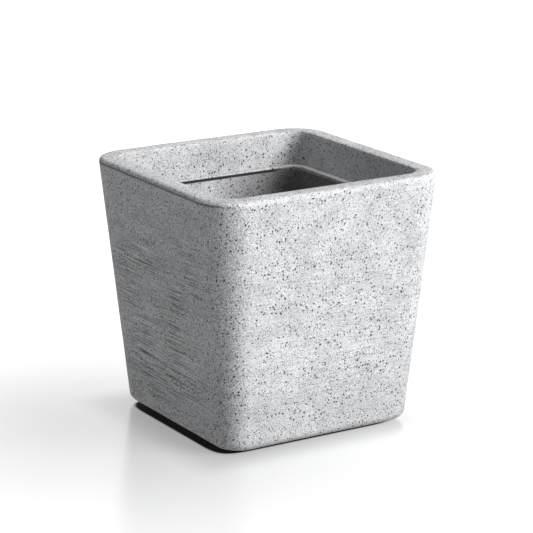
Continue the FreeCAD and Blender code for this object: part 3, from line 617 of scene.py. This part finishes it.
def drag_masks(material, place, axes, left, strength):
    """Masks of the dark and the pale drag lines, strongest in patches low on the left face."""
    rise = add_node(material, "MapRange", {0: axes.outputs["Z"], 1: 0.02, 2: 0.08, 3: 0.25, 4: 1})
    fall = add_node(material, "MapRange", {0: axes.outputs["Z"], 1: 0.24, 2: 0.33, 3: 1, 4: 0.12})
    patches = add_node(material, "TexNoise", {"Vector": place, "Scale": per_metre(PATCH_WIDTH),
                                              "Detail": 2})
    patch = add_node(material, "MapRange", {0: patches.outputs["Fac"], 1: 0.36, 2: 0.54, 3: 0.2, 4: 1})
    flat_part = stripe(material, axes.outputs["Y"], 0, FLAT_HALF, FLAT_FADE, 1)
    on_left = add_node(material, "Math", {0: left, 1: flat_part}, operation="MULTIPLY")
    where = add_node(material, "Math", {0: on_left.outputs[0], 1: OTHER_FACES},
                     operation="MAXIMUM").outputs[0]
    for share in (rise.outputs[0], fall.outputs[0], patch.outputs[0], strength):
        where = add_node(material, "Math", {0: where, 1: share}, operation="MULTIPLY").outputs[0]

    masks = []
    for length, width, low, high in DRAG_LINES:
        squeeze = (per_metre(length), per_metre(length), per_metre(width))
        stretched = add_node(material, "VectorMath", {0: place, 1: squeeze}, operation="MULTIPLY")
        lines = add_node(material, "TexNoise", {"Vector": stretched.outputs[0], "Scale": 1, "Detail": 3})
        line = add_node(material, "MapRange", {0: lines.outputs["Fac"], 1: low, 2: high, 3: 0, 4: 1})
        mask = add_node(material, "Math", {0: line.outputs[0], 1: where}, operation="MULTIPLY")
        masks.append(mask.outputs[0])
    return masks


print("drag lines %g and %g mm long" % (DRAG_LINES[0][0], DRAG_LINES[1][0]))

# %% Painted shade and highlight
# how far below the rim or the flange's top each painted line lies, and how far the band's painted shade
# fades, mm
RIM_SHADE_DROP, SHADOW_LINE_DROP, HIGHLIGHT_DROP, BAND_FADE = 6.5, 4.4, 0.5, 4


def shade_layers(material, place, axes):
    """Painted shade: a dark line under the rim on the left face, and a darker inside of the band."""
    below_rim = stripe(material, axes.outputs["Z"], SHELL_TOP - RIM_SHADE_DROP, 0.9, 1.6, 0.65)
    farthest = add_node(material, "MapRange", {0: axes.outputs["X"], 1: -0.165, 2: -0.19, 3: 0, 4: 1})
    rim_shade = add_node(material, "Math", {0: below_rim, 1: farthest.outputs[0]}, operation="MULTIPLY")
    off_axes = add_node(material, "VectorMath", {0: place}, operation="ABSOLUTE")
    sides = add_node(material, "SeparateXYZ", {0: off_axes.outputs[0]})
    across = add_node(material, "Math", {0: sides.outputs["X"], 1: sides.outputs["Y"]}, operation="MAXIMUM")
    # painted shade over all that lies inside the band's outline, seen from above
    band = add_node(material, "MapRange", {0: across.outputs[0], 1: BAND_TOP_HALF * MM,
                                           2: (BAND_TOP_HALF + BAND_FADE) * MM, 3: 0.13, 4: 0})
    return [(rim_shade.outputs[0], colour("#1d1e20")), (band.outputs[0], colour("#2b2a29"))]


def painted_shade_layers(material, axes, painted_shade):
    """Painted shadow under the liner's lip on the back, painted shade low in the liner, most on the right,
    and a painted highlight on the lip's edge on the right.
    """
    # painted shadow: a dark line just under the flange's lip, on the back part
    shadow_under_lip = stripe(material, axes.outputs["Z"], FLANGE_TOP - SHADOW_LINE_DROP, 2.2, 0.8, painted_shade)
    back_part = add_node(material, "MapRange", {0: axes.outputs["X"], 1: 0.11, 2: 0.14, 3: 1, 4: 0})
    # painted shade low in the liner, darker towards the right, where the right wall shades the back wall
    deep_shade = add_node(material, "MapRange", {0: axes.outputs["Z"], 1: (SHELF_TOP - 5) * MM,
                                           2: (SHELF_TOP + 0.5) * MM, 3: painted_shade, 4: 0})
    right_side = add_node(material, "MapRange", {0: axes.outputs["X"], 1: 0, 2: 0.12, 3: 0.07, 4: 0.8})
    # painted highlight: a white line along the lip's edge on the right, where it catches the light
    edge = stripe(material, axes.outputs["Z"], FLANGE_TOP - HIGHLIGHT_DROP, 0.4, 0.4, 1)
    right_part = add_node(material, "MapRange", {0: axes.outputs["X"], 1: 0.13, 2: 0.145, 3: 0, 4: 1})
    layers = []
    for mask, limit, painted_tone in ((shadow_under_lip, back_part, "#0c0c0c"),
                               (deep_shade.outputs[0], right_side, "#201f1e"), (edge, right_part, "#ffffff")):
        both = add_node(material, "Math", {0: mask, 1: limit.outputs[0]}, operation="MULTIPLY")
        layers.append((both.outputs[0], colour(painted_tone)))
    return layers


# the height of the painted shadow line under the lip
print("soil line at %.1f mm" % (FLANGE_TOP - SHADOW_LINE_DROP))

# %% The whole finish
CLOUD_WIDTH, GRAIN_WIDTH, LEFT_GRAIN, LINE_DEPTH, RELIEF = 38, 1.4, 2.8, 1.2, 0.35


def granite_look(name, drag, painted_shade=0.0):
    """Ground, drag lines and flakes; drag is how strong the lines are.

    Painted shade is how strong the painted shadow under the flange's lip and the painted shade low in the
    liner are; it also adds a painted highlight on the lip's edge.
    """
    material, shader, place = new_material(name, roughness=0.8, ior=1.51)
    axes = add_node(material, "SeparateXYZ", {0: place})
    left = add_node(material, "MapRange", {0: axes.outputs["X"], 1: -0.14, 2: -0.16,
                                           3: 0, 4: 1}).outputs[0]

    clouds = add_node(material, "TexNoise", {"Vector": place, "Scale": per_metre(CLOUD_WIDTH),
                                             "Detail": 4, "Roughness": 0.6})
    grain = add_node(material, "TexNoise", {"Vector": place, "Scale": per_metre(GRAIN_WIDTH), "Detail": 2})
    cloud_tone = add_node(material, "MapRange", {0: clouds.outputs["Fac"], 1: 0.33, 2: 0.67,
                                                 3: 0.45, 4: 0.75})
    grain_tone = add_node(material, "MapRange", {0: grain.outputs["Fac"], 1: 0.3, 2: 0.7, 3: -0.5, 4: 0.5},
                          clamp=False)
    coarser = add_node(material, "MapRange", {0: left, 3: 1, 4: LEFT_GRAIN})
    ground = add_node(material, "Math", {0: grain_tone.outputs[0], 1: coarser.outputs[0],
                                         2: cloud_tone.outputs[0]}, operation="MULTIPLY_ADD")
    tone = add_node(material, "Mix", {0: ground.outputs[0], 6: colour("#85878a"), 7: colour("#d6d7d9")},
                    data_type="RGBA").outputs[2]

    dark_lines, pale_lines = drag_masks(material, place, axes, left, drag)
    flakes = flake_layers(material, place)
    layers = [(pale_lines, colour("#dcdee0")), (dark_lines, colour("#303234"))] + flakes
    layers += shade_layers(material, place, axes)
    # painted shadow, painted shade and a painted highlight in the liner
    if painted_shade:
        layers += painted_shade_layers(material, axes, painted_shade)
    for mask, layer_tone in layers:
        tone = add_node(material, "Mix", {0: mask, 6: tone, 7: layer_tone}, data_type="RGBA").outputs[2]
    link(material, tone, shader.inputs["Base Color"])
    black_flakes = flakes[-1][0]
    gloss = add_node(material, "MapRange", {0: black_flakes, 1: 0, 2: 1, 3: 0.8, 4: 0.45})
    link(material, gloss.outputs[0], shader.inputs["Roughness"])

    relief = add_node(material, "Math", {0: dark_lines, 1: -LINE_DEPTH, 2: grain.outputs["Fac"]},
                      operation="MULTIPLY_ADD")
    bump = add_node(material, "Bump", {"Height": relief.outputs[0], "Distance": RELIEF * MM,
                                       "Strength": 0.8})
    link(material, bump.outputs[0], shader.inputs["Normal"])
    return material


shell.data.materials.append(granite_look("granite_look_polyethylene", 0.9))
bosses.data.materials.append(shell.data.materials[0])
# the liner carries the painted shadow under its lip, painted shade low down and a painted highlight on the
# lip's edge
liner_finish = granite_look("granite_look_liner_polyethylene", 0.2, painted_shade=0.95)
liner.data.materials.append(liner_finish)
lugs.data.materials.append(liner_finish)
print("granite-look finish:", len(shell.data.materials[0].node_tree.nodes), "nodes")

# %% [markdown]
# ## The reservoir's plastics, rubber and foam
# The parts in the reservoir are plain injection mouldings. A spark-eroded tool leaves a
# fine even grain of a few tenths of a millimetre on them, which is what spreads the
# highlight; rubber has a coarser, duller skin; the float is cut from closed-cell foam.

# %% Moulded plastics
def dress(pieces, finish):
    """Puts one finish on pieces, in place of what the CAD copy brought along."""
    for piece in pieces:
        piece.data.materials.clear()
        piece.data.materials.append(finish)
    print("%s on %s" % (finish.name, ", ".join(piece.name for piece in pieces)))


def moulded(name, dark, pale, grain_mm, depth_mm, roughness, ior=1.5, cloud_mm=25):
    """A moulded surface: a slightly clouded colour over an even grain."""
    material, shader, place = new_material(name, roughness=roughness, ior=ior)
    clouds = add_node(material, "TexNoise", {"Vector": place, "Scale": per_metre(cloud_mm), "Detail": 3})
    tone = add_node(material, "Mix", {0: clouds.outputs["Fac"], 6: colour(dark), 7: colour(pale)},
                    data_type="RGBA")
    link(material, tone.outputs[2], shader.inputs["Base Color"])
    grain = add_node(material, "TexNoise", {"Vector": place, "Scale": per_metre(grain_mm), "Detail": 2})
    worn = add_node(material, "MapRange", {0: clouds.outputs["Fac"], 1: 0.3, 2: 0.7, 3: roughness - 0.06,
                                           4: roughness + 0.08})
    link(material, worn.outputs[0], shader.inputs["Roughness"])
    bump = add_node(material, "Bump", {"Height": grain.outputs["Fac"], "Distance": depth_mm * MM,
                                       "Strength": 0.7})
    link(material, bump.outputs[0], shader.inputs["Normal"])
    return material


polypropylene = moulded("spark_grained_polypropylene", "#2b2d30", "#3a3d40", 0.9, 0.12, 0.5)
pipe_pvc = moulded("extruded_grey_pvc", "#74787c", "#83878b", 1.2, 0.05, 0.38, ior=1.53)
cap_plastic = moulded("moulded_charcoal_abs", "#3d4044", "#4a4e52", 0.8, 0.08, 0.42, ior=1.54)
acetal = moulded("turned_red_acetal", "#a81d22", "#c4282d", 0.7, 0.04, 0.3, ior=1.48)
rubber = moulded("moulded_epdm_rubber", "#161718", "#232425", 1.1, 0.15, 0.72, ior=1.52)
for finish, pieces in ((polypropylene, [separator] + cups), (pipe_pvc, [tube]), (cap_plastic, [cap]),
                       (acetal, [level_rod]), (rubber, [bung] + feet)):
    dress(pieces, finish)

# %% Closed-cell foam
foam, foam_shader, foam_place = new_material("closed_cell_foam", roughness=0.9, ior=1.4)
bubbles = add_node(foam, "TexVoronoi", {"Vector": foam_place, "Scale": per_metre(1.1)})
foam_tone = add_node(foam, "Mix", {0: bubbles.outputs["Distance"], 6: colour("#efe9dc"),
                                   7: colour("#cfc8b8")}, data_type="RGBA")
link(foam, foam_tone.outputs[2], foam_shader.inputs["Base Color"])
foam_bump = add_node(foam, "Bump", {"Height": bubbles.outputs["Distance"], "Distance": 0.3 * MM},
                     invert=True)
link(foam, foam_bump.outputs[0], foam_shader.inputs["Normal"])
dress([float_body], foam)

# %% [markdown]
# ## Metals
# The bails are drawn stainless bar: drawing leaves fine scratches and a satin shine. The
# screws are zinc plated, with the faint bluish spangle of a passivated coat. Both are true
# metals, so the colour is the reflection's colour and the IOR stays at its default.

# %% Drawn bar and zinc plate
def metal(name, dark, pale, pattern_mm, smooth, dull):
    material, shader, place = new_material(name, metallic=1.0, roughness=smooth)
    pattern = add_node(material, "TexNoise", {"Vector": place, "Scale": per_metre(pattern_mm), "Detail": 4})
    tone = add_node(material, "Mix", {0: pattern.outputs["Fac"], 6: colour(dark), 7: colour(pale)},
                    data_type="RGBA")
    link(material, tone.outputs[2], shader.inputs["Base Color"])
    shine = add_node(material, "MapRange", {0: pattern.outputs["Fac"], 1: 0.3, 2: 0.7, 3: smooth, 4: dull})
    link(material, shine.outputs[0], shader.inputs["Roughness"])
    return material


stainless = metal("drawn_stainless_bar", "#b9bbbd", "#d0d2d3", 1.5, 0.24, 0.4)
zinc = metal("zinc_plated_steel", "#9ea3a8", "#b9bdc0", 3, 0.3, 0.45)
dress(bails, stainless)
dress(screws, zinc)

# %% [markdown]
# ## Floor, light and camera
# The planter stands on a large sheet of glossy white acrylic that glows like a light table.
# Its shadows are painted into the glow and the colour: it is dark under the planter, and the
# dark part ends sharply a few millimetres out on the left, as a painted contact shadow. From
# there the glow rises over 80 mm, and a wide pool of painted shade lies to the left. A white card stands
# behind, and the floor mirrors it.
# A key light from high on the right gives the bright front and the shaded left side, a low
# fill beside it lifts the foot of the walls, and a dim white surrounding fills in the rest.
# The camera looks down a little at the front left corner.

# %% Floor
FLOOR_SIZE, HAZE_WIDTH = 30, 120
GLOW, GLOW_START, GLOW_FULL, GLOW_RISE, GLOW_NEAR = 0.79, 0.155, 0.160, 0.08, 0.66
SHADOW_STRETCH, SHADOW_SHIFT, SHADOW_CORNER = (1, 1.09, 0), (0.0095, 0.003, 0), 0.065
POOL_MIDDLE, POOL_NEAR, POOL_FAR, POOL_SHARE = (-0.26, 0.06, 0), 0.02, 0.55, 0.6
bpy.ops.object.select_all(action="DESELECT")
bpy.ops.mesh.primitive_plane_add(size=FLOOR_SIZE, location=(0, 0, 0))
floor = bpy.context.object
floor.name = "studio_floor"
acrylic, acrylic_shader, acrylic_place = new_material("white_acrylic_sheet", roughness=0.22, ior=1.49)
haze = add_node(acrylic, "TexNoise", {"Vector": acrylic_place, "Scale": per_metre(HAZE_WIDTH), "Detail": 2})
acrylic_tone = add_node(acrylic, "Mix", {0: haze.outputs["Fac"], 6: colour("#646566"),
                                         7: colour("#686969")}, data_type="RGBA")
# painted contact shadow: no glow under the planter, the dark part shifted a little to the left
from_shadow = add_node(acrylic, "VectorMath", {0: acrylic_place, 1: SHADOW_STRETCH, 2: SHADOW_SHIFT},
                       operation="MULTIPLY_ADD")
off_axes = add_node(acrylic, "VectorMath", {0: from_shadow.outputs[0]}, operation="ABSOLUTE")
sides = add_node(acrylic, "SeparateXYZ", {0: off_axes.outputs[0]})
from_middle = add_node(acrylic, "Math", {0: sides.outputs["X"], 1: sides.outputs["Y"],
                                         2: SHADOW_CORNER}, operation="SMOOTH_MAX")
open_floor = add_node(acrylic, "MapRange", {0: from_middle.outputs["Value"], 1: GLOW_START, 2: GLOW_FULL},
                      interpolation_type="SMOOTHSTEP")
# painted shade: a wide pool to the left of the planter, where the glow is weaker
from_pool = add_node(acrylic, "VectorMath", {0: acrylic_place, 1: POOL_MIDDLE}, operation="DISTANCE")
pool = add_node(acrylic, "MapRange", {0: from_pool.outputs["Value"], 1: POOL_NEAR, 2: POOL_FAR,
                                      3: POOL_SHARE * GLOW, 4: GLOW}, interpolation_type="SMOOTHSTEP")
# painted shadow fading out: the glow rises to full over GLOW_RISE beyond the dark part
soft = add_node(acrylic, "MapRange", {0: from_middle.outputs["Value"], 1: GLOW_FULL,
                                      2: GLOW_FULL + GLOW_RISE, 3: GLOW_NEAR, 4: 1},
                interpolation_type="SMOOTHSTEP")
glow = add_node(acrylic, "Math", {0: open_floor.outputs[0], 1: pool.outputs[0]}, operation="MULTIPLY")
glow = add_node(acrylic, "Math", {0: glow.outputs[0], 1: soft.outputs[0]}, operation="MULTIPLY")
# painted shadow in the floor's own colour and reflection: near black and hardly mirroring under the planter
mirror = add_node(acrylic, "MapRange", {0: open_floor.outputs[0], 3: 0.03, 4: 0.5})
shaded = add_node(acrylic, "Mix", {0: open_floor.outputs[0], 6: colour("#050505"),
                                   7: acrylic_tone.outputs[2]}, data_type="RGBA")
link(acrylic, shaded.outputs[2], acrylic_shader.inputs["Base Color"])
acrylic_shader.inputs["Emission Color"].default_value = (1, 1, 1, 1)
link(acrylic, glow.outputs[0], acrylic_shader.inputs["Emission Strength"])
link(acrylic, mirror.outputs[0], acrylic_shader.inputs["Specular IOR Level"])
floor.data.materials.append(acrylic)
floor.visible_diffuse = False

# %% A white card behind the planter, which the floor mirrors
AZIMUTH = math.radians(-31.6)  # the camera's turn to the left; the card is square to it
CARD_PLACE, CARD_WIDTH, CARD_HEIGHT, CARD_GLOW = (3.2, 5.2, 1.6), 9, 3.2, 0.7
bpy.ops.object.select_all(action="DESELECT")
bpy.ops.mesh.primitive_plane_add(size=1, location=CARD_PLACE, rotation=(math.radians(90), 0, AZIMUTH))
card = bpy.context.object
card.name = "white_card"
card.scale = (CARD_WIDTH, CARD_HEIGHT, 1)
card_paper, card_shader, _ = new_material("matt_white_card", roughness=0.9)
card_shader.inputs["Emission Color"].default_value = (1, 1, 1, 1)
card_shader.inputs["Emission Strength"].default_value = CARD_GLOW
card.data.materials.append(card_paper)
card.visible_diffuse = False

# %% Lights
SURROUND = 0.37


def area_light(name, azimuth, elevation, distance, size, power):
    """A soft square light that looks at the planter; azimuth 0 is in front and 90 on the right."""
    turn, rise = math.radians(azimuth), math.radians(elevation)
    away = Vector((math.sin(turn) * math.cos(rise), -math.cos(turn) * math.cos(rise), math.sin(rise)))
    light = bpy.data.lights.new(name, "AREA")
    light.size, light.energy = size, power
    lamp = bpy.data.objects.new(name, light)
    bpy.context.scene.collection.objects.link(lamp)
    lamp.location = away * distance
    lamp.rotation_euler = turn_to(away)
    return lamp


area_light("key", azimuth=36, elevation=34, distance=12, size=6.5, power=2330)
area_light("low_fill", azimuth=25, elevation=5, distance=8, size=4, power=155)
world = bpy.data.worlds.new("studio")
world.use_nodes = True
world.node_tree.nodes["Background"].inputs["Color"].default_value = (1, 1, 1, 1)
world.node_tree.nodes["Background"].inputs["Strength"].default_value = SURROUND
bpy.context.scene.world = world
bpy.context.scene.view_settings.view_transform = "Standard"

# %% Camera
ELEVATION, DISTANCE, LENS, SHIFT_RIGHT, SHIFT_UP = math.radians(15.5), 3.596, 159.9, 0.0015, 0.030
back = Vector((math.sin(AZIMUTH) * math.cos(ELEVATION), -math.cos(AZIMUTH) * math.cos(ELEVATION),
               math.sin(ELEVATION)))
right = Vector((math.cos(AZIMUTH), math.sin(AZIMUTH), 0))
up = back.cross(right)
camera = bpy.data.objects.new("camera", bpy.data.cameras.new("camera"))
bpy.context.scene.collection.objects.link(camera)
camera.data.lens = LENS
shell_middle = Vector((0, 0, SHELL_TOP + SHELL_BOTTOM)) * (MM / 2)
camera.location = shell_middle + back * DISTANCE + right * SHIFT_RIGHT + up * SHIFT_UP
camera.rotation_euler = Matrix((right, up, back)).transposed().to_euler()
bpy.context.scene.camera = camera
